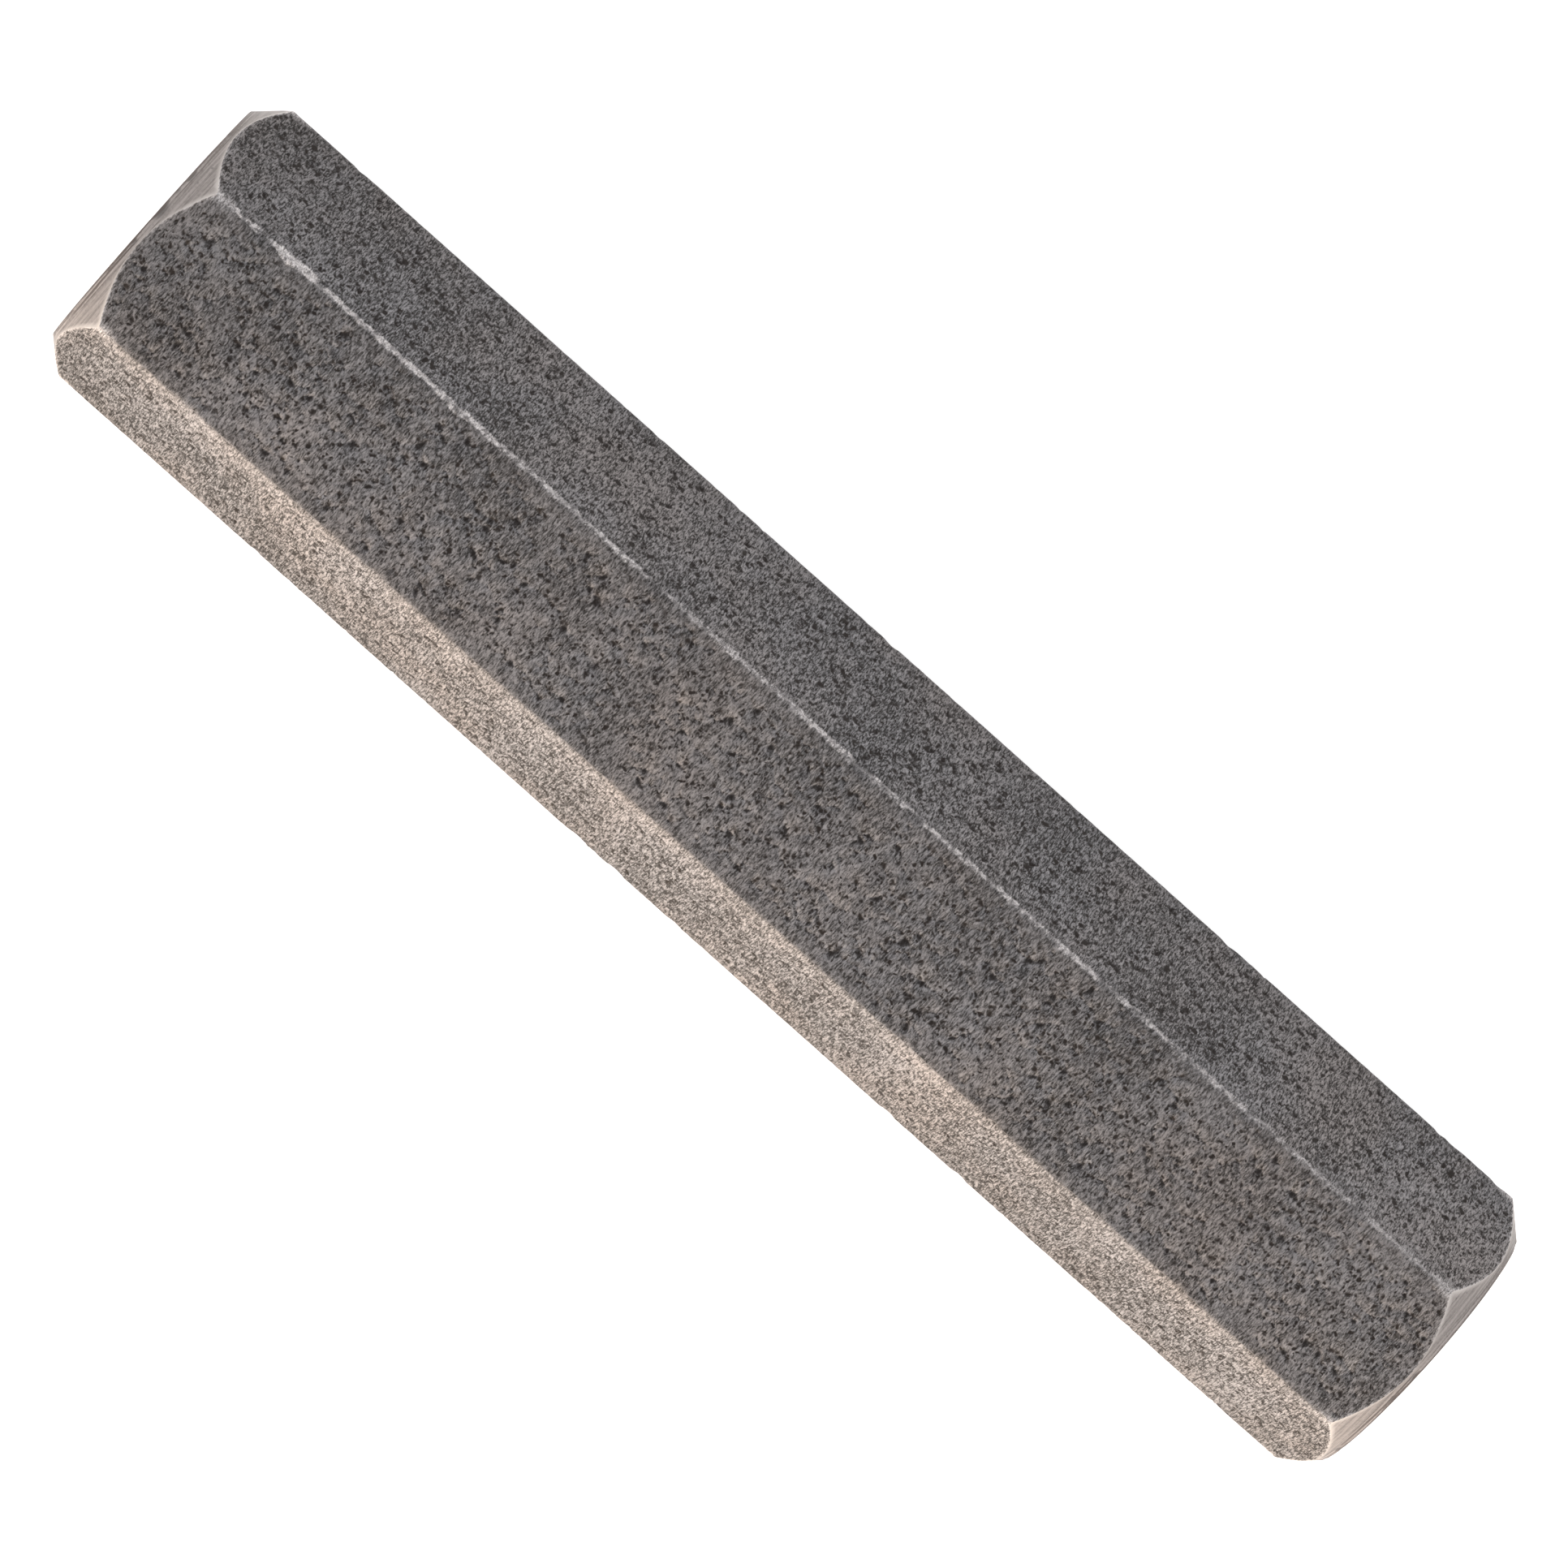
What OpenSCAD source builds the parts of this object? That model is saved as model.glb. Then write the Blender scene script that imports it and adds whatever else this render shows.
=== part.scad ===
// Hexagonal hand whetstone: one solid bar of abrasive stone, ground to six equal working faces,
// with a turned chamfer at each end.
// Millimetres. +X runs along the bar, +Z is up, and the bar lies on one flat.
// The origin is at the middle of the face it lies on.

/* [Stone] */
// Length over the two end faces
stone_length = 120; // [80:1:200]
// Width across two opposite working faces
across_flats = 22; // [14:0.5:40]
// Width of the worn land along each of the six long edges
edge_land = 0.3; // [0.1:0.05:1]

/* [Turned ends] */
// Diameter of the flat end face, as a share of the width across flats
end_face_share = 0.955; // [0.8:0.005:0.985]
// Angle between the chamfer's cone and the long axis, in degrees
chamfer_angle = 43; // [30:1:60]

/* [Hidden] */
circle_fn = 180;

// Distance from the long axis to each working face
apothem = across_flats / 2;
// Distance from the long axis to a perfectly sharp edge
sharp_corner_r = apothem / cos(30);
// Half of the angle that one worn land spans, seen from the long axis
land_half_angle = asin(edge_land / 2 / sharp_corner_r);
// Radius of the worn lands, a little inside the sharp edge
land_r = apothem / cos(30 - land_half_angle);
// Radius of the flat end face
end_face_r = apothem * end_face_share;
// How far each chamfer reaches along the bar, measured at the lands
chamfer_length = (land_r - end_face_r) / tan(chamfer_angle);
// Distances from the middle of the bar to each end face and to the foot of each cone
end_x = stone_length / 2;
cone_x = end_x - chamfer_length;

// Six working faces: a hexagonal prism along X, with one flat facing straight down.
module ground_prism() {
    rotate([0, 90, 0])
        rotate([0, 0, 30])
            cylinder(h = stone_length, r = sharp_corner_r, center = true, $fn = 6);
}

// What the worn edges and the turned ends leave: a round bar with a cone at each end.
module turned_envelope() {
    rotate([0, 90, 0])
        rotate_extrude($fn = circle_fn)
            polygon([
                [0, -end_x],
                [end_face_r, -end_x],
                [land_r, -cone_x],
                [land_r, cone_x],
                [end_face_r, end_x],
                [0, end_x]
            ]);
}

module whetstone() {
    color("dimgray")
        translate([0, 0, apothem])
            intersection() {
                ground_prism();
                turned_envelope();
            }
}

whetstone();
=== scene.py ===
"""Looks for the hexagonal hand whetstone: a pored stone bar with worn edges and turned ends.

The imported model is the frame: metres, +X along the bar, +Z up, the bar lying on one flat.
The stone's own mesh is worked out in millimetres and scaled once, when it becomes an object.
"""

import math

import bpy
import numpy as np
from mathutils import Matrix, Vector
from mathutils.geometry import delaunay_2d_cdt


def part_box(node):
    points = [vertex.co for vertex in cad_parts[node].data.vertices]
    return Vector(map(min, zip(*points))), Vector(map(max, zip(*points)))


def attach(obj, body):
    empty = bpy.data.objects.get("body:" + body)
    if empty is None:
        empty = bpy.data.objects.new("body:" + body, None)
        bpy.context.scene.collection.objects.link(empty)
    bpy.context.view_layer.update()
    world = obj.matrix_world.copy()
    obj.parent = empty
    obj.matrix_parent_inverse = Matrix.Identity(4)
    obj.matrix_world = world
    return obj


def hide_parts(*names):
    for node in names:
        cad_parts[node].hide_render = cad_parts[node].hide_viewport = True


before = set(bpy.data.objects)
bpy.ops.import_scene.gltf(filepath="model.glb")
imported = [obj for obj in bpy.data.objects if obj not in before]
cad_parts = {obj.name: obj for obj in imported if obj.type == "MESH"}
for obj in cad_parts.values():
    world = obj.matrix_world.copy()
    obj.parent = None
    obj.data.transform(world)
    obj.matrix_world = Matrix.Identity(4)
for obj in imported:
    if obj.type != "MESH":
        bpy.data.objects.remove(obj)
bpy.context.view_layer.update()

MM = 0.001
SEED = 1932
FACES = 6

# ---------------------------------------------------------------- sizes, read from the frame, in mm

low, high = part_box("whetstone")
cad = np.array([v.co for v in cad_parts["whetstone"].data.vertices]) / MM
APOTHEM = (high.z - low.z) / 2 / MM
LAND_R = (high.y - low.y) / 2 / MM
END_X = high.x / MM
cad_radius = np.hypot(cad[:, 1], cad[:, 2] - APOTHEM)
END_R = cad_radius[cad[:, 0] > END_X - 0.01].max()
CONE_X = cad[cad_radius > LAND_R - 0.01, 0].max()
CONE_SLOPE = (END_X - CONE_X) / (LAND_R - END_R)
HALF_FACE = math.sqrt(LAND_R**2 - APOTHEM**2)
LAND_HALF_ANGLE = math.pi / FACES - math.acos(APOTHEM / LAND_R)
LAND_HALF_WIDTH = LAND_R * LAND_HALF_ANGLE

# ---------------------------------------------------------------- how fine the mesh is, in mm

EDGE_STEP = 0.36
SCALLOP_STEPS = 48
CONE_RINGS = 8
# How far inside the long edges, the scallops and the end faces' rims extra rows of points run
EDGE_ROWS = (0.07, 0.25, 0.6)
SCALLOP_ROWS = (0.14, 0.4)
END_ROWS = (0.2, 0.5, 1.0)
# The loose grid of points that fills the flats, and how far it stays from those three outlines
FILL_STEP = 1.5
FILL_SHIFT = 0.3
FILL_FROM_EDGE = 0.8
FILL_FROM_SCALLOP = 0.7
FILL_FROM_RIM = 1.3
# No two points on a flat lie closer together than about this
CLOSEST = 0.05

# The lands wander and narrow by these shares of their half width, and waver in depth
LAND_WANDER = 0.35
LAND_WIDTHS = (0.25, 0.6)
WAVER_DEPTH = 0.03
WAVER_PLACES = 90
# The gap to a long edge that stands for none near
FAR_GAP = 9.0

# ---------------------------------------------------------------- pores and chips, in mm

PORES_PER_FACE = 900
PORES_PER_END = 110
PORE_RADIUS = (0.12, 0.36)
# The higher, the more the small pores outnumber the large ones
PORE_SKEW = 6.0
# A pore's depth, the waves of its outline and its inner ring, as shares of its radius
PORE_DEPTH = 0.5
PORE_LOBE = 0.18
PORE_INNER = 0.55
# The most that a pore is drawn out
PORE_STRETCH = 1.7
# The outlines of pores under this radius have fewer sides
SMALL_PORE = 0.2
SMALL_PORE_SIDES = 6
PORE_SIDES = 10
# How far pores stay from a flat's outline
PORE_MARGIN = 0.35

CHIPS_PER_EDGE = 50
CHIPS_PER_RIM = 26
CHIP_SKEW = 4
CHIP_HALF_LENGTH = (0.15, 0.8)
CHIP_HALF_WIDTH = (0.12, 0.55)
CHIP_DEPTH = (0.02, 0.12)
# How far chips stray to either side of a long edge and of an end face's rim
EDGE_CHIP_SPREAD = 0.16
RIM_CHIP_SPREAD = 0.1
# How deep a rim's chips are in the end face, as a share of their depth in the chamfer
END_CHIP_SHARE = 0.6

# How pale each side of each long edge is worn, and how far the wear reaches, in mm.
# Key: (face, side), where side -1 is the edge towards the face before it and +1 the next.
# Face 0 is on top, and the numbers run clockwise seen along +X.
WEAR = {
    (0, 1): (1.0, 0.06),
    (1, -1): (1.0, 0.06),
    (0, -1): (0.1, 0.02),
    (5, 1): (0.13, 1.4),
    (1, 1): (0.15, 0.02),
    (2, -1): (0.15, 0.02),
    (5, -1): (0.12, 0.02),
    (4, 1): (0.12, 0.02),
}
OTHER_WEAR = (0.6, 0.05)
# How much stronger the wear is at the -X end, and how much of it is left at the +X end
NEAR_WEAR = 1.6
FAR_WEAR = 0.6

# How far grinding drew the grain out across each face: the smaller, the longer the streaks
FACE_GRAIN = {0: 0.55, 1: 0.48, 3: 0.55, 5: 0.3}
OTHER_GRAIN = 0.3

# Painted light and shade: how pale each face is painted at its edge towards the face before it and at
# the next, following how the light falls across the faces, with the lit face 5 painted paler
FACE_PAINTED_SHADING = {0: (1.095, 0.97), 1: (1.05, 0.91), 4: (1.05, 1.05), 5: (1.08, 1.31)}
OTHER_PAINTED_SHADING = (1.0, 1.0)
# How much stronger the grain shows on a face than on the others
FACE_CONTRAST = {1: 1.4, 5: 1.25}
# The stone is darker towards the end at -X, over this many mm
DARK_END = 14.0
DARK_END_TONE = 0.82

# How wide the painted highlights along the scallops and round the corners are, in mm
SCALLOP_HIGHLIGHT_WIDTH = 0.16
CORNER_HIGHLIGHT_WIDTH = 0.45
CORNER_HIGHLIGHT_LENGTH = 2.0

# ---------------------------------------------------------------- the flat map that bakes go on

# Six strips, one for each face and half of each land beside it, lie under two discs.
MAP_NAME = "OFBake"
MAP_GAP = 0.002
DISC_HALF = 0.117
DISC_V = 1 - DISC_HALF - MAP_GAP
STRIP_V = (DISC_V - DISC_HALF - MAP_GAP) / FACES
STRIP_HALF = STRIP_V / 2 - MAP_GAP
CONE_REACH = math.hypot(LAND_R - END_R, END_X - CONE_X)

rng = np.random.default_rng(SEED)


# ---------------------------------------------------------------- the mesh


class StoneMesh:
    """Vertices with their marks, and faces with their material numbers and places on the map."""

    # The tone mark carries painted light and shade across each face.
    MARKS = ("pore", "edge_gap", "wear", "reach", "chip", "rim", "grain", "tone", "contrast")

    def __init__(self):
        self.points = []
        self.marks = {name: [] for name in self.MARKS}
        self.faces = []
        self.materials = []
        self.map_places = []
        self.creases = set()

    def add(self, points, **marks):
        """Adds points, an n by 3 array in mm from the bar's middle, and returns their numbers."""
        first = len(self.points)
        self.points.extend(np.asarray(points, float))
        for name in self.MARKS:
            value = np.broadcast_to(marks.get(name, 0.0), len(points))
            self.marks[name].extend(value)
        return np.arange(first, len(self.points))

    def crease(self, row):
        """Marks the edges along a row of vertices as sharp."""
        self.creases.update((min(pair), max(pair)) for pair in zip(row[:-1], row[1:]))

    def join(self, one, other, one_places, other_places, material):
        """Joins two rows of vertices with quads. The places are the rows' own on the map."""
        for k in range(len(one) - 1):
            self.faces.append((one[k], one[k + 1], other[k + 1], other[k]))
            self.map_places.extend(one_places[k : k + 2])
            self.map_places.extend((other_places[k + 1], other_places[k]))
            self.materials.append(material)

    def fill(self, numbers, flat_points, rim_count, places, material):
        """Fills a flat patch with triangles. Its first rim_count points are its outline."""
        rim = [(k, (k + 1) % rim_count) for k in range(rim_count)]
        points = [Vector(p) for p in flat_points]
        found = delaunay_2d_cdt(points, rim, [], 1, 1e-6, True)
        triangles, sources = found[2], found[3]
        for triangle in triangles:
            corners = [sources[k][0] for k in triangle]
            self.faces.append([numbers[k] for k in corners])
            self.map_places.extend(places[k] for k in corners)
            self.materials.append(material)


def face_angle(face):
    """Which way a face looks, as an angle across the bar. Half numbers give the lands."""
    return math.pi / 2 - face * 2 * math.pi / FACES


def face_frame(face):
    """A face's outward normal and its direction towards the next face, both across the bar."""
    angle = face_angle(face)
    normal = np.array([0, math.cos(angle), math.sin(angle)])
    across = np.array([0, math.sin(angle), -math.cos(angle)])
    return normal, across


def on_face(face, x, t):
    """Points of a face, from their place along the bar and across the face."""
    normal, across = face_frame(face)
    x, t = np.broadcast_arrays(x, t)
    along = np.array([1.0, 0, 0])
    return x[:, None] * along + APOTHEM * normal + t[:, None] * across


def face_marks(face, x, t):
    """The marks that depend only on the place on a face."""
    x, t = np.broadcast_arrays(x, t)
    # Painted light and shade: each face's paleness runs from edge to edge as the light falls across
    # it; the stone is also darker towards the -X end.
    tone = np.interp(t, (-HALF_FACE, HALF_FACE), FACE_PAINTED_SHADING.get(face, OTHER_PAINTED_SHADING))
    tone = tone * np.interp(x + END_X, (0, DARK_END), (DARK_END_TONE, 1))
    # Painted highlight: a pale line along each scallop, stronger towards the corners, and a pale
    # patch round each corner.
    rim = (1 - (scallop_x(t) - np.abs(x)) / SCALLOP_HIGHLIGHT_WIDTH) * (0.5 + 0.5 * (t / HALF_FACE) ** 2)
    from_end = (CONE_X - np.abs(x)) / CORNER_HIGHLIGHT_LENGTH
    from_edge = (HALF_FACE - np.abs(t)) / CORNER_HIGHLIGHT_WIDTH
    corner = 1 - np.hypot(from_end, from_edge)
    before, after = (WEAR.get((face, side), OTHER_WEAR) for side in (-1, 1))
    wear, reach = np.where(t < 0, np.transpose([before]), np.transpose([after]))
    return {
        "grain": FACE_GRAIN.get(face, OTHER_GRAIN),
        "tone": tone,
        "contrast": FACE_CONTRAST.get(face, 1.0),
        "rim": np.clip(np.maximum(rim, corner), 0, 1),
        "wear": wear * np.interp(x / END_X, (-0.9, -0.3, 0.3, 1), (NEAR_WEAR, 1, 1, FAR_WEAR)),
        "reach": reach,
    }


def scallop_x(t):
    """How far along the bar a face reaches before the chamfer cuts it, at t across the face."""
    return END_X - (np.hypot(APOTHEM, t) - END_R) * CONE_SLOPE


def on_strip(face, x, t):
    """Where points of a face, or of the halves of its lands, lie on the map."""
    x, t = np.broadcast_arrays(x, t)
    u = 0.5 + x / END_X * (0.5 - MAP_GAP)
    v = (face + 0.5) * STRIP_V + t / (HALF_FACE + LAND_HALF_WIDTH) * STRIP_HALF
    return np.stack([u, v], 1)


def on_disc(end, reach, angle):
    """Where points of an end lie on the map. reach is their way from the axis over its surface."""
    share = reach / (END_R + CONE_REACH) * DISC_HALF
    u = DISC_HALF + MAP_GAP + (2 * DISC_HALF + MAP_GAP) * (end > 0) + share * np.cos(angle)
    return np.stack([u, DISC_V + share * np.sin(angle)], 1)


def thinned(points, kept):
    """The points that lie further than CLOSEST from the kept ones and from each other."""
    taken = {tuple(c) for c in np.round(kept / CLOSEST).astype(int)}
    chosen = []
    for point in points:
        cell = tuple(np.round(point / CLOSEST).astype(int))
        if cell not in taken:
            taken.add(cell)
            chosen.append(point)
    return np.array(chosen).reshape(-1, 2)


class Pores:
    """Irregular round hollows scattered over a flat patch."""

    def __init__(self, count, inside):
        """Scatters count pores. inside(radius) returns a random place for a pore of that radius."""
        share = rng.random(count) ** PORE_SKEW
        self.radius = PORE_RADIUS[0] + (PORE_RADIUS[1] - PORE_RADIUS[0]) * share
        self.centre = np.array([inside(radius) for radius in self.radius])
        self.turn = rng.uniform(0, math.pi, count)
        self.stretch = rng.uniform(1.0, PORE_STRETCH, count)
        self.lobe = rng.uniform(0, 2 * math.pi, count)

    def places(self):
        """Each pore's middle, an inner ring and its rim."""
        rings = []
        for k in range(len(self.radius)):
            sides = SMALL_PORE_SIDES if self.radius[k] < SMALL_PORE else PORE_SIDES
            spin = rng.uniform(0, 2 * math.pi)
            angle = spin + np.arange(sides) * 2 * math.pi / sides
            rings.append(self.centre[k : k + 1])
            rings.append(self.ring(k, angle[::2] + 0.3, PORE_INNER))
            rings.append(self.ring(k, angle, 1.0))
        return np.vstack(rings)

    def outline(self, k, angle):
        """How far the wavy rim of pore k lies from its middle."""
        return self.radius[k] * (1 + PORE_LOBE * np.cos(3 * angle + self.lobe[k]))

    def ring(self, k, angle, share):
        """Points round pore k, at a share of the way from its middle to its rim."""
        reach = share * self.outline(k, angle)
        u = reach * np.cos(angle) * self.stretch[k]
        v = reach * np.sin(angle) / math.sqrt(self.stretch[k])
        c, s = math.cos(self.turn[k]), math.sin(self.turn[k])
        return self.centre[k] + np.stack([c * u - s * v, s * u + c * v], 1)

    def depth(self, points):
        """How deep the pores reach below each point, and a mark from 0 at a rim to 1."""
        depth, mark = np.zeros(len(points)), np.zeros(len(points))
        for k in range(len(self.radius)):
            reach = self.radius[k] * PORE_STRETCH * (1 + PORE_LOBE)
            near = np.abs(points - self.centre[k]).max(1) < reach
            off = points[near] - self.centre[k]
            c, s = math.cos(self.turn[k]), math.sin(self.turn[k])
            u = (c * off[:, 0] + s * off[:, 1]) / self.stretch[k]
            v = (c * off[:, 1] - s * off[:, 0]) * math.sqrt(self.stretch[k])
            angle = np.arctan2(v, u)
            share = np.clip(1 - (np.hypot(u, v) / self.outline(k, angle)) ** 2, 0, 1)
            deep = PORE_DEPTH * self.radius[k] * share
            depth[near] = np.maximum(depth[near], deep)
            mark[near] = np.maximum(mark[near], np.sqrt(share))
        return depth, mark


class Chips:
    """Small flakes broken out along a line, such as a long edge. They lie at (place, offset)."""

    def __init__(self, count, length, spread):
        share = rng.random(count) ** CHIP_SKEW
        self.place = rng.uniform(0, length, count)
        self.offset = rng.normal(0, spread, count)
        self.half_length = np.interp(share, (0, 1), CHIP_HALF_LENGTH)
        self.half_length *= rng.uniform(0.6, 1.3, count)
        self.half_width = np.interp(share, (0, 1), CHIP_HALF_WIDTH)
        self.depth = np.interp(share, (0, 1), CHIP_DEPTH)

    def at(self, place, offset):
        """How deep the flakes reach at points near the line, and a mark from 0 to 1."""
        depth, mark = np.zeros(len(place)), np.zeros(len(place))
        for k in range(len(self.place)):
            along = (place - self.place[k]) / self.half_length[k]
            aside = (offset - self.offset[k]) / self.half_width[k]
            share = np.clip(1 - along**2 - aside**2, 0, 1)
            depth = np.maximum(depth, self.depth[k] * share**0.7)
            mark = np.maximum(mark, share**0.5)
        return depth, mark


def towards_axis(points, depth):
    """The points moved straight towards the long axis."""
    radial = points * [0, 1, 1]
    radial /= np.linalg.norm(radial, axis=1)[:, None] + 1e-12
    return points - radial * depth[:, None]


def jittered(low_end, high_end, step):
    """Places from one end to the other, about step apart, with the inner ones moved a little."""
    count = max(2, round((high_end - low_end) / step))
    places = np.linspace(low_end, high_end, count + 1)
    places[1:-1] += rng.uniform(-0.3, 0.3, count - 1) * (high_end - low_end) / count
    return places


def loose_grid(across, along):
    """A grid of points over two rows of places, each moved a little."""
    grid = np.stack(np.meshgrid(across, along), -1).reshape(-1, 2)
    return grid + rng.uniform(-FILL_SHIFT, FILL_SHIFT, grid.shape) * FILL_STEP


# The material numbers
GROUND, TURNED = 0, 1
# Where each end of the bar comes in a row that runs along it
PLACE_IN_ROW = {-1: 0, 1: -1}


def build_edges(mesh):
    """The six worn lands. Returns each land's chips, places along the bar and three rows."""
    lands = []
    for face in range(FACES):
        following = (face + 1) % FACES
        chips = Chips(CHIPS_PER_EDGE, 2 * CONE_X, EDGE_CHIP_SPREAD)
        x = jittered(-CONE_X, CONE_X, EDGE_STEP)
        waver_x = np.linspace(-CONE_X, CONE_X, WAVER_PLACES)
        waver = np.interp(x, waver_x, rng.uniform(0, WAVER_DEPTH, WAVER_PLACES))
        middle = rng.uniform(-LAND_WANDER, LAND_WANDER, len(x))
        width = rng.uniform(*LAND_WIDTHS, len(x))
        middle[[0, -1]] = 0
        width[[0, -1]] = 1
        rows = []
        for side, owner, owner_side in ((-1, face, 1), (0, face, 1), (1, following, -1)):
            aside = middle + side * width
            angle = face_angle(face + 0.5) - aside * LAND_HALF_ANGLE
            points = np.stack([x, LAND_R * np.cos(angle), LAND_R * np.sin(angle)], 1)
            depth, mark = chips.at(x + CONE_X, aside * LAND_HALF_WIDTH)
            if side == 0:
                depth = depth + waver
            depth[[0, -1]] = 0
            gap = abs(side) * width * LAND_HALF_WIDTH
            marks = face_marks(owner, x, owner_side * HALF_FACE)
            rows.append(mesh.add(towards_axis(points, depth), edge_gap=gap, chip=mark, **marks))
        mesh.crease(rows[0])
        mesh.crease(rows[2])
        edge = HALF_FACE + LAND_HALF_WIDTH
        before = on_strip(face, x, HALF_FACE), on_strip(face, x, edge)
        after = on_strip(following, x, -edge), on_strip(following, x, -HALF_FACE)
        mesh.join(rows[0], rows[1], *before, GROUND)
        mesh.join(rows[1], rows[2], *after, GROUND)
        lands.append((chips, x, rows))
    return lands


def build_face(mesh, face, lands):
    """One working face, between its two lands and the two scallops. Returns its scallops' rows."""
    chips_before, x_before, rows_before = lands[face - 1]
    chips_after, x_after, rows_after = lands[face]
    t_inner = np.linspace(-HALF_FACE, HALF_FACE, SCALLOP_STEPS + 1)[1:-1]
    normal, _ = face_frame(face)

    scallops = {}
    for end in (-1, 1):
        x = end * scallop_x(t_inner)
        gap = HALF_FACE - np.abs(t_inner) + LAND_HALF_WIDTH
        new = mesh.add(on_face(face, x, t_inner), edge_gap=gap, **face_marks(face, x, t_inner))
        corner = PLACE_IN_ROW[end]
        scallops[end] = np.concatenate([[rows_before[2][corner]], new, [rows_after[0][corner]]])
        mesh.crease(scallops[end])

    before = np.stack([x_before, np.full(len(x_before), -HALF_FACE)], 1)
    after = np.stack([x_after, np.full(len(x_after), HALF_FACE)], 1)
    plus_end = np.stack([scallop_x(t_inner), t_inner], 1)
    minus_end = np.stack([-scallop_x(t_inner), t_inner], 1)
    outline = np.vstack([before, plus_end, after[::-1], minus_end[::-1]])
    outline_numbers = np.concatenate([
        rows_before[2],
        scallops[1][1:-1],
        rows_after[0][::-1],
        scallops[-1][1:-1][::-1],
    ])

    def pore_place(radius):
        """A random place on the face that is clear of its edges."""
        room = PORE_MARGIN + 1.5 * radius
        t = rng.uniform(-1, 1) * (HALF_FACE - room)
        x = rng.uniform(-1, 1) * (scallop_x(t) - room)
        return x, t

    pores = Pores(PORES_PER_FACE, pore_place)
    inside = [pores.places()]
    for gap in EDGE_ROWS:
        t = HALF_FACE - gap
        for side in (-1, 1):
            x = jittered(-scallop_x(t) + gap, scallop_x(t) - gap, EDGE_STEP * (1 + gap))
            inside.append(np.stack([x, np.full(len(x), side * t)], 1))
    for gap in SCALLOP_ROWS:
        t = t_inner[np.abs(t_inner) < HALF_FACE - gap]
        for end in (-1, 1):
            inside.append(np.stack([end * (scallop_x(t) - gap), t], 1))
    grid = loose_grid(
        np.arange(-END_X, END_X, FILL_STEP),
        np.arange(-HALF_FACE + 1, HALF_FACE - 0.5, FILL_STEP),
    )
    off_edges = np.abs(grid[:, 1]) < HALF_FACE - FILL_FROM_EDGE
    off_scallops = np.abs(grid[:, 0]) < scallop_x(grid[:, 1]) - FILL_FROM_SCALLOP
    inside.append(grid[off_edges & off_scallops])
    inside = thinned(np.vstack(inside), outline)

    x, t = inside.T
    gap_before = HALF_FACE + t + LAND_HALF_WIDTH
    gap_after = HALF_FACE - t + LAND_HALF_WIDTH
    depth, pore = pores.depth(inside)
    chip_depth_1, chip_1 = chips_before.at(x + CONE_X, gap_before)
    chip_depth_2, chip_2 = chips_after.at(x + CONE_X, -gap_after)
    points = on_face(face, x, t) - depth[:, None] * normal
    points = towards_axis(points, np.maximum(chip_depth_1, chip_depth_2))
    numbers = mesh.add(
        points,
        pore=pore,
        edge_gap=np.minimum(gap_before, gap_after),
        chip=np.maximum(chip_1, chip_2),
        **face_marks(face, x, t),
    )
    numbers = np.concatenate([outline_numbers, numbers])
    flat_points = np.vstack([outline, inside])
    mesh.fill(numbers, flat_points, len(outline), on_strip(face, *flat_points.T), GROUND)
    return scallops


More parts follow.
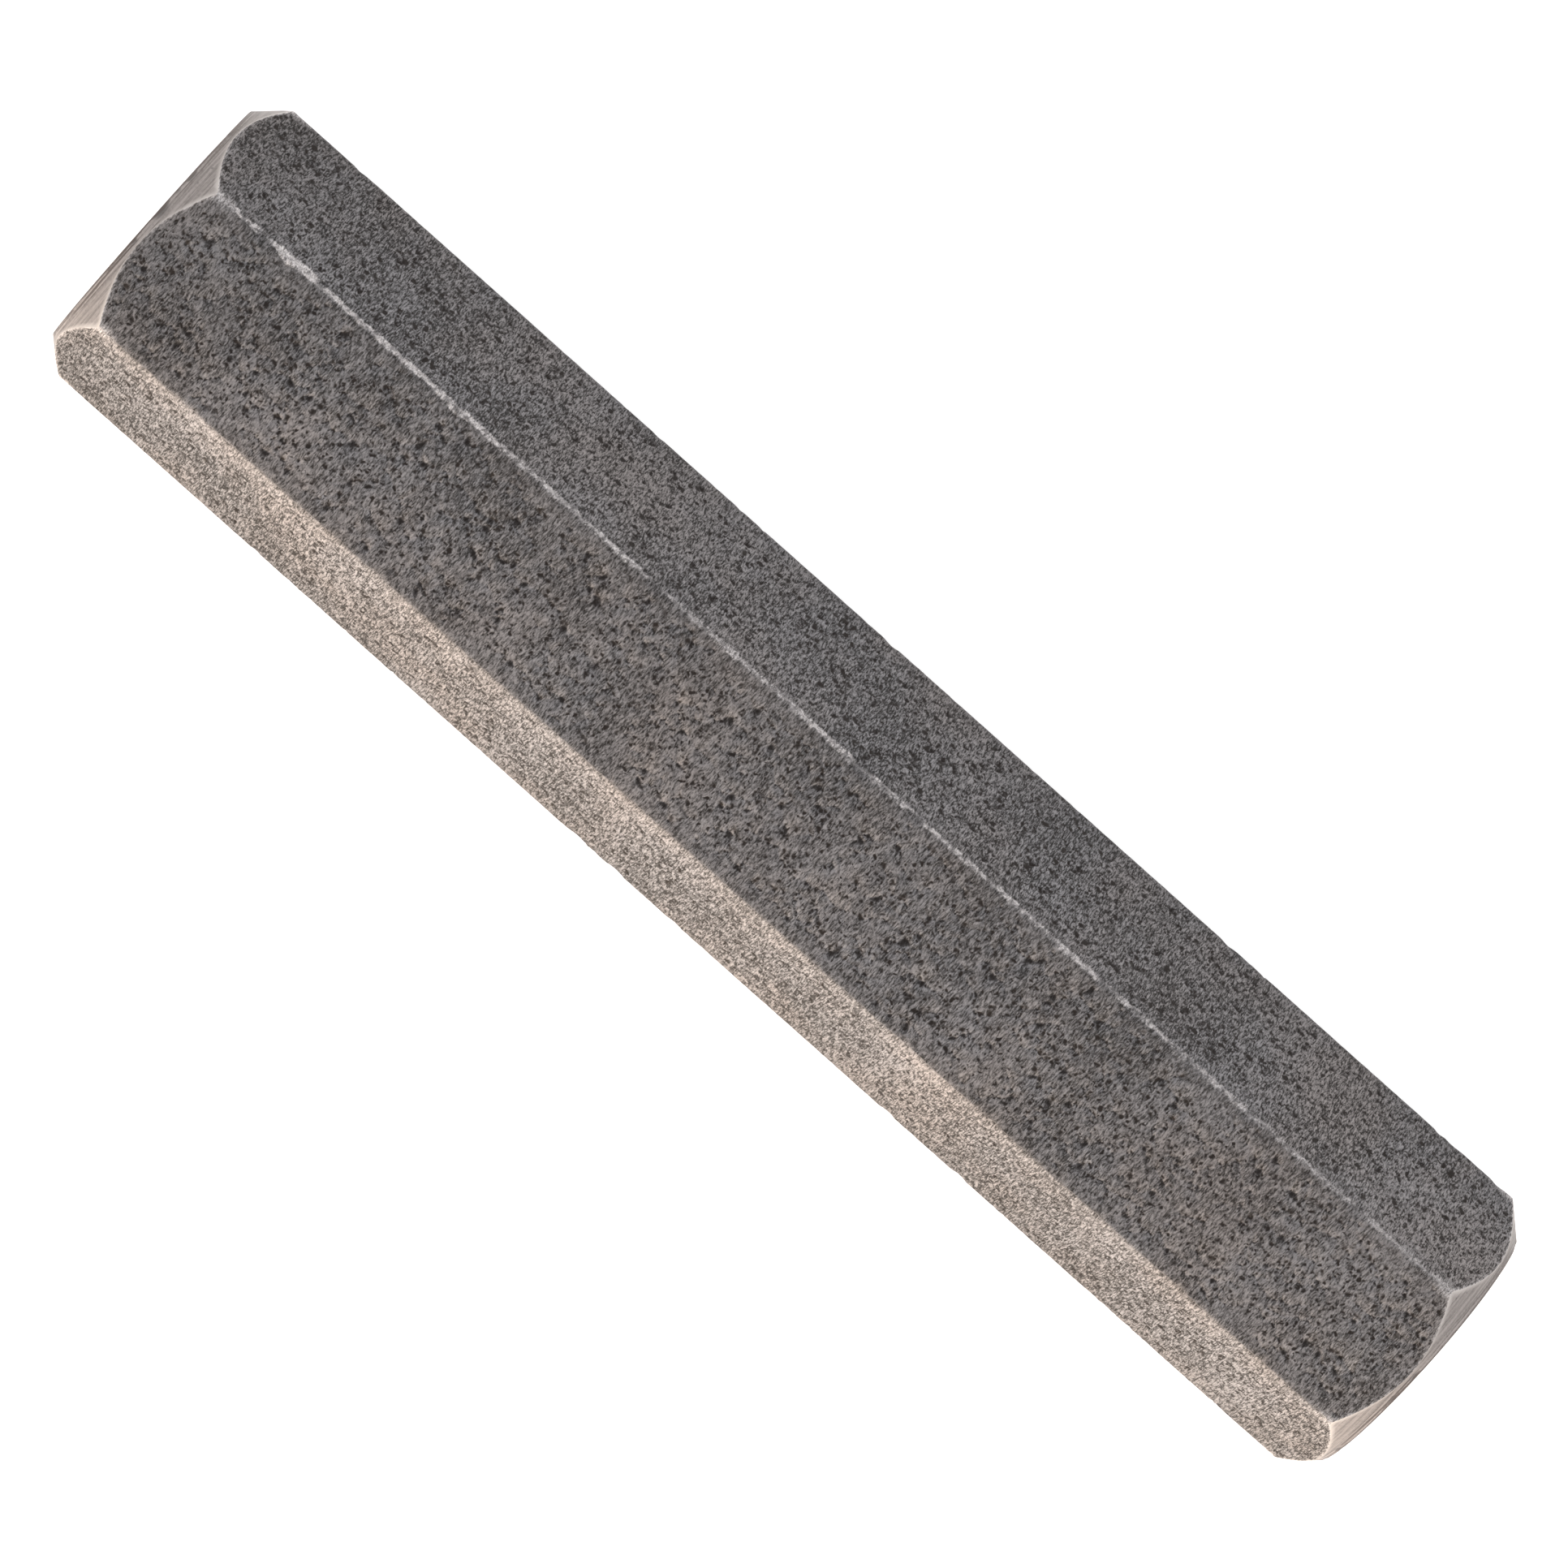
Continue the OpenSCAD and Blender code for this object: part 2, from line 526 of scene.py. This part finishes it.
def build_end(mesh, end, scallops, lands):
    """One turned chamfer and its flat end face."""
    loop = []
    for face in range(FACES):
        loop.extend(scallops[face][end])
        loop.append(lands[face][2][1][PLACE_IN_ROW[end]])
    loop = np.array(loop + loop[:1])
    outer = np.array([mesh.points[k] for k in loop])
    angle = np.arctan2(outer[:, 2], outer[:, 1])
    outer_r = np.hypot(outer[:, 1], outer[:, 2])
    length = 2 * math.pi * END_R
    chips = Chips(CHIPS_PER_RIM, length, RIM_CHIP_SPREAD)
    place = (angle % (2 * math.pi)) * END_R

    slant = CONE_REACH * (outer_r - END_R) / (LAND_R - END_R)
    row, row_places = loop, on_disc(end, END_R + slant, angle)
    for share in np.linspace(0, 1, CONE_RINGS + 1)[1:] ** 0.8:
        r = outer_r + (END_R - outer_r) * share
        x = outer[:, 0] + (end * END_X - outer[:, 0]) * share
        points = np.stack([x, r * np.cos(angle), r * np.sin(angle)], 1)
        depth, mark = chips.at(place, r - END_R)
        inner = mesh.add(towards_axis(points, depth)[:-1], chip=mark[:-1], edge_gap=FAR_GAP)
        inner = np.append(inner, inner[0])
        inner_places = on_disc(end, END_R + slant * (1 - share), angle)
        mesh.join(row, inner, row_places, inner_places, TURNED)
        row, row_places = inner, inner_places
    rim = row[:-1]
    circle = np.stack([END_R * np.cos(angle), END_R * np.sin(angle)], 1)[:-1]

    def pore_place(radius):
        """A random place on the end face that is clear of its rim."""
        r = (END_R - PORE_MARGIN - 1.5 * radius) * math.sqrt(rng.random())
        turn = rng.uniform(0, 2 * math.pi)
        return r * math.cos(turn), r * math.sin(turn)

    pores = Pores(PORES_PER_END, pore_place)
    inside = [pores.places()]
    for gap in END_ROWS:
        turn = np.arange(0, 2 * math.pi, (0.25 + gap) / END_R)
        inside.append((END_R - gap) * np.stack([np.cos(turn), np.sin(turn)], 1))
    steps = np.arange(-END_R, END_R, FILL_STEP)
    grid = loose_grid(steps, steps)
    inside.append(grid[np.hypot(*grid.T) < END_R - FILL_FROM_RIM])
    inside = thinned(np.vstack(inside), circle)
    depth, pore = pores.depth(inside)
    radius = np.hypot(*inside.T)
    turn = np.arctan2(inside[:, 1], inside[:, 0]) % (2 * math.pi)
    chip_depth, chip = chips.at(turn * END_R, END_R - radius)
    x = end * (END_X - np.maximum(depth, chip_depth * END_CHIP_SHARE))
    points = np.stack([x, inside[:, 0], inside[:, 1]], 1)
    numbers = mesh.add(points, pore=pore, chip=chip, edge_gap=FAR_GAP)
    flat_points = np.vstack([circle, inside])
    places = on_disc(end, np.hypot(*flat_points.T), np.arctan2(*flat_points.T[::-1]))
    mesh.fill(np.concatenate([rim, numbers]), flat_points, len(circle), places, TURNED)


def stone_object():
    """The whole stone as one closed mesh."""
    mesh = StoneMesh()
    lands = build_edges(mesh)
    scallops = [build_face(mesh, face, lands) for face in range(FACES)]
    for end in (-1, 1):
        build_end(mesh, end, scallops, lands)

    data = bpy.data.meshes.new("stone")
    points = (np.array(mesh.points) + [0, 0, APOTHEM]) * MM
    data.from_pydata(points, [], [tuple(int(k) for k in f) for f in mesh.faces])
    data.polygons.foreach_set("material_index", mesh.materials)
    for name, values in mesh.marks.items():
        data.attributes.new(name, "FLOAT", "POINT").data.foreach_set("value", values)
    data.polygons.foreach_set("use_smooth", [True] * len(data.polygons))
    sharp = [tuple(sorted(edge.vertices)) in mesh.creases for edge in data.edges]
    data.attributes.new("sharp_edge", "BOOLEAN", "EDGE").data.foreach_set("value", sharp)
    data.uv_layers.new(name=MAP_NAME).data.foreach_set("uv", np.ravel(mesh.map_places))
    stone = bpy.data.objects.new("stone_bar", data)
    bpy.context.scene.collection.objects.link(stone)

    bpy.context.view_layer.objects.active = stone
    bpy.ops.object.mode_set(mode="EDIT")
    bpy.ops.mesh.select_all(action="SELECT")
    bpy.ops.mesh.normals_make_consistent(inside=False)
    bpy.ops.object.mode_set(mode="OBJECT")
    return stone


# ---------------------------------------------------------------- materials

# How closely the grain is packed along the bar
GRAIN_SQUEEZE = 1.8
# The middle of the grain's tones, and how far from it they turn fully dark or fully pale
MIDDLE_TONE = 0.515
TONE_REACH = 0.155
# How much the broad clouds add to the grain's tones
CLOUD_STRENGTH = 0.16
# How far the small pores' outlines are bent out of round, in mm
PORE_BEND = 0.55
# How ragged the wear's inner border is, as a share of its reach
WEAR_RAGGED = 7.0
# How closely the turned lines lie, and how finely they break up on their way round
LINES_PER_MM = 8.0
LINE_BREAKS = 1.5
# How deep the bump reads the grain and the turned lines, in metres
GRAIN_DEPTH = 0.05 * MM
LINE_DEPTH = 0.03 * MM
# How brightly the floor shines by itself, to show as white
FLOOR_GLOW = 0.5


class Nodes:
    """A material's node tree, with one short call for each kind of node that is used here."""

    def __init__(self, name):
        self.material = bpy.data.materials.new(name)
        self.material.use_nodes = True
        self.tree = self.material.node_tree
        self.shader = self.tree.nodes["Principled BSDF"]

    def add(self, kind, **inputs):
        """Adds a node. Each input is a number, a vector or another node's output."""
        node = self.tree.nodes.new(kind)
        for name, value in inputs.items():
            self.feed(node.inputs[name.replace("_", " ")], value)
        return node

    def feed(self, socket, value):
        """Gives a socket a fixed value, or links another node's output to it."""
        if isinstance(value, bpy.types.NodeSocket):
            self.tree.links.new(value, socket)
        else:
            socket.default_value = value

    def surface(self, colour, normal, roughness, specular):
        """Feeds the shader, and returns the material."""
        self.feed(self.shader.inputs["Base Color"], colour)
        self.feed(self.shader.inputs["Normal"], normal)
        self.feed(self.shader.inputs["Roughness"], roughness)
        self.shader.inputs["Specular IOR Level"].default_value = specular
        return self.material

    def math(self, operation, one, other=0.0, clamp=False):
        """One step of arithmetic."""
        node = self.tree.nodes.new("ShaderNodeMath")
        node.operation = operation
        node.use_clamp = clamp
        self.feed(node.inputs[0], one)
        self.feed(node.inputs[1], other)
        return node.outputs[0]

    def product(self, first, *others):
        """All the values multiplied together."""
        for other in others:
            first = self.math("MULTIPLY", first, other)
        return first

    def total(self, *parts):
        """The sum of some values, each given in a pair with its factor."""
        values = [self.math("MULTIPLY", value, factor) for value, factor in parts]
        for value in values[1:]:
            values[0] = self.math("ADD", values[0], value)
        return values[0]

    def vector(self, operation, one, other):
        """One step of vector arithmetic. SCALE takes a number as its second value."""
        node = self.tree.nodes.new("ShaderNodeVectorMath")
        node.operation = operation
        self.feed(node.inputs[0], one)
        if operation == "SCALE":
            self.feed(node.inputs["Scale"], other)
        else:
            self.feed(node.inputs[1], other)
        return node.outputs[0]

    def mark(self, name):
        """One of the mesh's own marks."""
        node = self.tree.nodes.new("ShaderNodeAttribute")
        node.attribute_name = name
        return node.outputs["Fac"]

    def noise(self, vector, per_mm, detail, roughness, output="Fac"):
        """Soft noise, about per_mm patches in a mm. Color has three noises, one for each axis."""
        node = self.add("ShaderNodeTexNoise", Vector=vector, Scale=per_mm, Detail=detail,
                        Roughness=roughness)
        return node.outputs[output]

    def between(self, value, start, stop, low_value=0.0, high_value=1.0):
        """value, taken smoothly from start..stop to low_value..high_value."""
        node = self.tree.nodes.new("ShaderNodeMapRange")
        node.interpolation_type = "SMOOTHSTEP"
        for name, number in (("Value", value), ("From Min", start), ("From Max", stop),
                             ("To Min", low_value), ("To Max", high_value)):
            self.feed(node.inputs[name], number)
        return node.outputs["Result"]

    def mix(self, share, one, other, blend="MIX"):
        """A colour that goes from one to other as share goes from 0 to 1."""
        node = self.tree.nodes.new("ShaderNodeMix")
        node.data_type = "RGBA"
        node.blend_type = blend
        self.feed(node.inputs["Factor"], share)
        self.feed(node.inputs[6], one)
        self.feed(node.inputs[7], other)
        return node.outputs[2]

    def bump(self, height, distance, strength):
        """The normal of a surface that rises by distance, in metres, where height goes up by 1."""
        node = self.add("ShaderNodeBump", Height=height, Distance=distance, Strength=strength)
        return node.outputs["Normal"]

    def spots(self, vector, per_mm, radius, edge, share):
        """Round spots cut from a solid scatter of points: 1 inside a spot and 0 between them.

        This share of the points have a spot. The largest spot has this radius, as a share of the
        points' spacing, and each fades in from its rim to edge times its own radius.
        """
        node = self.add("ShaderNodeTexVoronoi", Vector=vector, Scale=per_mm)
        pick = self.tree.nodes.new("ShaderNodeSeparateColor")
        self.feed(pick.inputs[0], node.outputs["Color"])
        size = self.between(pick.outputs[0], 1 - share, 1.0, 0.0, radius)
        inner = self.math("MULTIPLY", size, edge)
        return self.between(node.outputs["Distance"], size, inner)


def srgb(red, green, blue):
    """A colour given as it looks on a screen, 0 to 255, as the linear colour that shaders take."""
    shown = np.array([red, green, blue]) / 255
    linear = np.where(shown <= 0.04045, shown / 12.92, ((shown + 0.055) / 1.055) ** 2.4)
    return (*linear, 1.0)


def millimetres(net):
    """The place on the stone, in mm."""
    place = net.tree.nodes.new("ShaderNodeTexCoord").outputs["Object"]
    return net.vector("SCALE", place, 1 / MM)


# The stone's colours
GRAIN_DARK, GRAIN_PALE = srgb(34, 31, 30), srgb(132, 128, 129)
COOL_TINT, WARM_TINT = (0.975, 1.0, 1.02, 1.0), (1.03, 1.0, 0.97, 1.0)
PORE_DARK = srgb(26, 19, 16)
# Pale colours for worn stone and for the painted highlights along the scallops.
WORN_AND_HIGHLIGHT_DIM, WORN_AND_HIGHLIGHT_PALE = srgb(125, 120, 119), srgb(205, 200, 200)
TURNED_DARK, TURNED_PALE = srgb(93, 86, 82), srgb(145, 137, 134)
TURNED_PORE = srgb(44, 40, 38)
TURNED_CHIP = srgb(70, 66, 64)
TURNED_RING_DARK = srgb(70, 58, 53)
# A painted highlight along the scallops, on the chamfer side.
TURNED_HIGHLIGHT = srgb(184, 177, 173)
# The floor's two tones
FLOOR_DIM, FLOOR_PALE = (0.90, 0.90, 0.90, 1.0), (0.92, 0.92, 0.92, 1.0)


def ground_pores(net, place, edge_gap):
    """Small open pores and larger pits in the ground faces, fewer beside the long edges."""
    wobble = net.noise(place, per_mm=2.0, detail=1.0, roughness=0.5, output="Color")
    wobble = net.vector("SUBTRACT", wobble, (0.5, 0.5, 0.5))
    bent = net.vector("ADD", place, net.vector("SCALE", wobble, PORE_BEND))
    coarse = net.spots(bent, per_mm=1.6, radius=0.5, edge=0.25, share=1.0)
    fine = net.spots(bent, per_mm=2.6, radius=0.55, edge=0.3, share=1.0)
    # The pits are larger where the grain is stronger
    pit_radius = net.math("SUBTRACT", net.math("MULTIPLY", net.mark("contrast"), 0.4), 0.06)
    elsewhere = net.vector("ADD", bent, (7.0, 3.0, 5.0))
    pits = net.spots(elsewhere, per_mm=1.4, radius=pit_radius, edge=0.5, share=0.6)
    pores = net.math("MAXIMUM", net.math("MAXIMUM", coarse, fine), pits)
    pores = net.math("MULTIPLY", pores, net.between(edge_gap, 0.2, 1.6, 0.35, 1.0))
    return net.math("MAXIMUM", pores, net.mark("pore"), clamp=True)


def ground_wear_and_highlight(net, place, edge_gap, fine):
    """How far the stone is worn pale, ragged along the long edges, with a painted highlight along the
    scallops and round the corners.
    """
    smear = net.noise(place, per_mm=0.22, detail=2.0, roughness=0.6)
    smear = net.between(smear, 0.6, 0.72, 0.9, 1.9)
    reach = net.math("MULTIPLY", net.math("ADD", net.mark("reach"), 0.1), smear)
    fade = net.math("DIVIDE", edge_gap, reach)
    ragged = net.noise(place, per_mm=0.9, detail=5.0, roughness=0.85)
    ragged = net.math("MULTIPLY", net.math("SUBTRACT", ragged, 0.5), WEAR_RAGGED)
    fade = net.math("ADD", fade, ragged)
    specks = net.noise(place, per_mm=2.5, detail=2.0, roughness=0.7)
    breaks = net.noise(place, per_mm=0.4, detail=3.0, roughness=0.6)
    worn = net.product(
        net.between(fade, 2.2, 0.4),
        net.mark("wear"),
        net.between(specks, 0.38, 0.58, 0.25, 1.0),
        net.between(breaks, 0.34, 0.5, 0.5, 1.0),
        net.math("SUBTRACT", 1.0, net.mark("chip"), clamp=True),
    )
    # The rim mark adds a painted highlight along the scallops and round the corners.
    rim = net.math("MULTIPLY", net.mark("rim"), net.between(fine, 0.3, 0.6, 0.6, 1.0))
    return net.math("MAXIMUM", worn, rim)


def ground_material():
    """The six working faces: dark grey grain full of open pores, worn pale along the edges."""
    net = Nodes("ground_stone")
    place = millimetres(net)
    edge_gap = net.mark("edge_gap")
    grain = net.mark("grain")
    squeeze = net.add("ShaderNodeCombineXYZ", X=GRAIN_SQUEEZE, Y=grain, Z=grain)
    grained = net.vector("MULTIPLY", place, squeeze.outputs[0])
    fine = net.noise(grained, per_mm=6.0, detail=2.0, roughness=0.8)
    mottle = net.noise(grained, per_mm=3.5, detail=2.0, roughness=0.6)
    cloud = net.noise(place, per_mm=0.09, detail=2.0, roughness=0.5)
    tint = net.noise(place, per_mm=0.08, detail=3.0, roughness=0.6)

    tone = net.total((fine, 0.62), (mottle, 0.38))
    level = net.total(
        (net.math("SUBTRACT", tone, MIDDLE_TONE), net.mark("contrast")),
        (net.math("SUBTRACT", cloud, 0.5), CLOUD_STRENGTH),
    )
    level = net.between(level, -TONE_REACH, TONE_REACH)
    ground = net.mix(level, GRAIN_DARK, GRAIN_PALE)
    hue = net.mix(net.between(tint, 0.35, 0.65), COOL_TINT, WARM_TINT)
    ground = net.mix(1.0, ground, hue, "MULTIPLY")
    # Painted light and shade: the tone mark's gradients across each face, and painted shade that
    # darkens the stone within 1.4 mm of the long edges.
    shade = net.math("MULTIPLY", net.mark("tone"), net.between(edge_gap, 0.2, 1.4, 0.9, 1.0))
    ground = net.vector("SCALE", ground, shade)
    pores = ground_pores(net, place, edge_gap)
    ground = net.mix(pores, ground, PORE_DARK)

    # Worn stone and the painted highlights share these pale colours.
    worn_and_highlight_colour = net.mix(net.between(fine, 0.35, 0.65), WORN_AND_HIGHLIGHT_DIM, WORN_AND_HIGHLIGHT_PALE)
    colour = net.mix(ground_wear_and_highlight(net, place, edge_gap, fine), ground, worn_and_highlight_colour)
    height = net.math("SUBTRACT", net.math("MULTIPLY", tone, 0.5), pores)
    return net.surface(
        colour=colour,
        normal=net.bump(height, GRAIN_DEPTH, strength=0.25),
        roughness=net.between(fine, 0.3, 0.7, 0.85, 0.65),
        specular=0.25,
    )


def turned_material():
    """The chamfers and end faces: paler, with fine lines that a turning tool left round them."""
    net = Nodes("turned_stone")
    place = millimetres(net)
    parts = net.add("ShaderNodeSeparateXYZ", Vector=place)
    y = parts.outputs[1]
    z = net.math("SUBTRACT", parts.outputs[2], APOTHEM)
    r = net.math("SQRT", net.total((y, y), (z, z)))
    round_place = net.add(
        "ShaderNodeCombineXYZ",
        X=net.math("MULTIPLY", r, LINES_PER_MM),
        Y=net.math("MULTIPLY", net.math("DIVIDE", y, r), LINE_BREAKS),
        Z=net.math("MULTIPLY", net.math("DIVIDE", z, r), LINE_BREAKS),
    )
    lines = net.noise(round_place.outputs[0], per_mm=1.0, detail=3.0, roughness=0.75)
    grain = net.noise(place, per_mm=5.0, detail=3.0, roughness=0.8)
    pores = net.spots(place, per_mm=2.4, radius=0.3, edge=0.4, share=0.35)
    pores = net.math("MAXIMUM", net.math("MULTIPLY", pores, 0.5), net.mark("pore"), clamp=True)

    tone = net.total((lines, 0.75), (grain, 0.25))
    ground = net.mix(net.between(tone, 0.34, 0.66), TURNED_DARK, TURNED_PALE)
    ground = net.mix(pores, ground, TURNED_PORE)
    ground = net.mix(net.mark("chip"), ground, TURNED_CHIP)
    # The stone is darker in a ragged ring where the chamfer meets the end face
    rim_gap = net.math("ABSOLUTE", net.math("SUBTRACT", r, END_R))
    ragged = net.math("SUBTRACT", net.total((lines, 2.2), (grain, 0.6)), 1.4)
    dark_ring = net.between(net.math("ADD", rim_gap, ragged), 0.35, 0.1, 0.0, 0.85)
    ground = net.mix(dark_ring, ground, TURNED_RING_DARK)
    # The rim mark paints a pale highlight along the scallops onto the chamfers.
    return net.surface(
        colour=net.mix(net.mark("rim"), ground, TURNED_HIGHLIGHT),
        normal=net.bump(net.math("SUBTRACT", lines, pores), LINE_DEPTH, strength=0.8),
        roughness=net.between(lines, 0.3, 0.7, 0.42, 0.58),
        specular=0.45,
    )


def floor_material():
    """A plain pale floor, hardly mottled, that shines a little by itself."""
    net = Nodes("pale_floor")
    place = net.tree.nodes.new("ShaderNodeTexCoord").outputs["Object"]
    shade = net.add("ShaderNodeTexNoise", Vector=place, Scale=3.0).outputs["Fac"]
    colour = net.mix(shade, FLOOR_DIM, FLOOR_PALE)
    net.feed(net.shader.inputs["Base Color"], colour)
    net.shader.inputs["Roughness"].default_value = 0.9
    net.shader.inputs["Specular IOR Level"].default_value = 0.1
    net.shader.inputs["Emission Color"].default_value = (1.0, 1.0, 1.0, 1)
    net.shader.inputs["Emission Strength"].default_value = FLOOR_GLOW
    return net.material


# ---------------------------------------------------------------- the stone in the frame

stone = stone_object()
stone.data.materials.append(ground_material())
stone.data.materials.append(turned_material())
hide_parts("whetstone")
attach(stone, "root")

# ---------------------------------------------------------------- floor, light and camera

FLOOR_HALF = 2.5
FLOOR_Z = low.z - 0.02 * MM
floor_data = bpy.data.meshes.new("floor")
corners = [(x * FLOOR_HALF, y * FLOOR_HALF, FLOOR_Z) for x, y in ((-1, -1), (1, -1), (1, 1), (-1, 1))]
floor_data.from_pydata(corners, [], [(0, 1, 2, 3)])
floor_data.materials.append(floor_material())
floor = bpy.data.objects.new("floor", floor_data)
bpy.context.scene.collection.objects.link(floor)

WORLD_LIGHT = 1.15
world = bpy.data.worlds.new("studio")
world.use_nodes = True
world.node_tree.nodes["Background"].inputs["Color"].default_value = (1.0, 1.0, 1.0, 1)
world.node_tree.nodes["Background"].inputs["Strength"].default_value = WORLD_LIGHT
bpy.context.scene.world = world

# A low warm light rakes in over the floor, square to the lit side of the bar.
KEY_DIRECTION = Vector((0.12, -0.99, 0.02))
KEY_STRENGTH = 10.2
KEY_COLOUR = (1.0, 0.81, 0.61)
KEY_SPREAD = 32
key_data = bpy.data.lights.new("key", "SUN")
key_data.energy = KEY_STRENGTH
key_data.color = KEY_COLOUR
key_data.angle = math.radians(KEY_SPREAD)
key = bpy.data.objects.new("key", key_data)
key.rotation_euler = KEY_DIRECTION.to_track_quat("Z", "Y").to_euler()
bpy.context.scene.collection.objects.link(key)

# The camera stands far off, nearly overhead, a little beyond the side away from the key light.
VIEW_AZIMUTH = 197.75
VIEW_ELEVATION = 80.62
VIEW_DISTANCE = 0.816
VIEW_LENS = 264.8
VIEW_SENSOR = 36
VIEW_END = 20
VIEW_AIM = Vector((-0.34 * MM, 0.07 * MM, APOTHEM * MM))
# How steeply the bar falls from left to right in the picture
BAR_SLOPE = 41.68


def make_camera():
    """A camera that looks at the bar from above, turned so that the bar falls by BAR_SLOPE."""
    azimuth, elevation = math.radians(VIEW_AZIMUTH), math.radians(VIEW_ELEVATION)
    back = Vector((
        math.sin(azimuth) * math.cos(elevation),
        -math.cos(azimuth) * math.cos(elevation),
        math.sin(elevation),
    ))
    bar = Vector((1, 0, 0))
    along = (bar - bar.dot(back) * back).normalized()
    over = back.cross(along)
    slope = math.radians(BAR_SLOPE)
    right = math.cos(slope) * along + math.sin(slope) * over
    up = math.cos(slope) * over - math.sin(slope) * along
    data = bpy.data.cameras.new("camera")
    data.lens = VIEW_LENS
    data.sensor_width = VIEW_SENSOR
    data.clip_end = VIEW_END
    camera = bpy.data.objects.new("camera", data)
    turn = Matrix((right, up, back)).transposed()
    camera.matrix_world = Matrix.Translation(VIEW_AIM + back * VIEW_DISTANCE) @ turn.to_4x4()
    bpy.context.scene.collection.objects.link(camera)
    return camera


bpy.context.scene.camera = make_camera()
bpy.context.scene.view_settings.view_transform = "Standard"
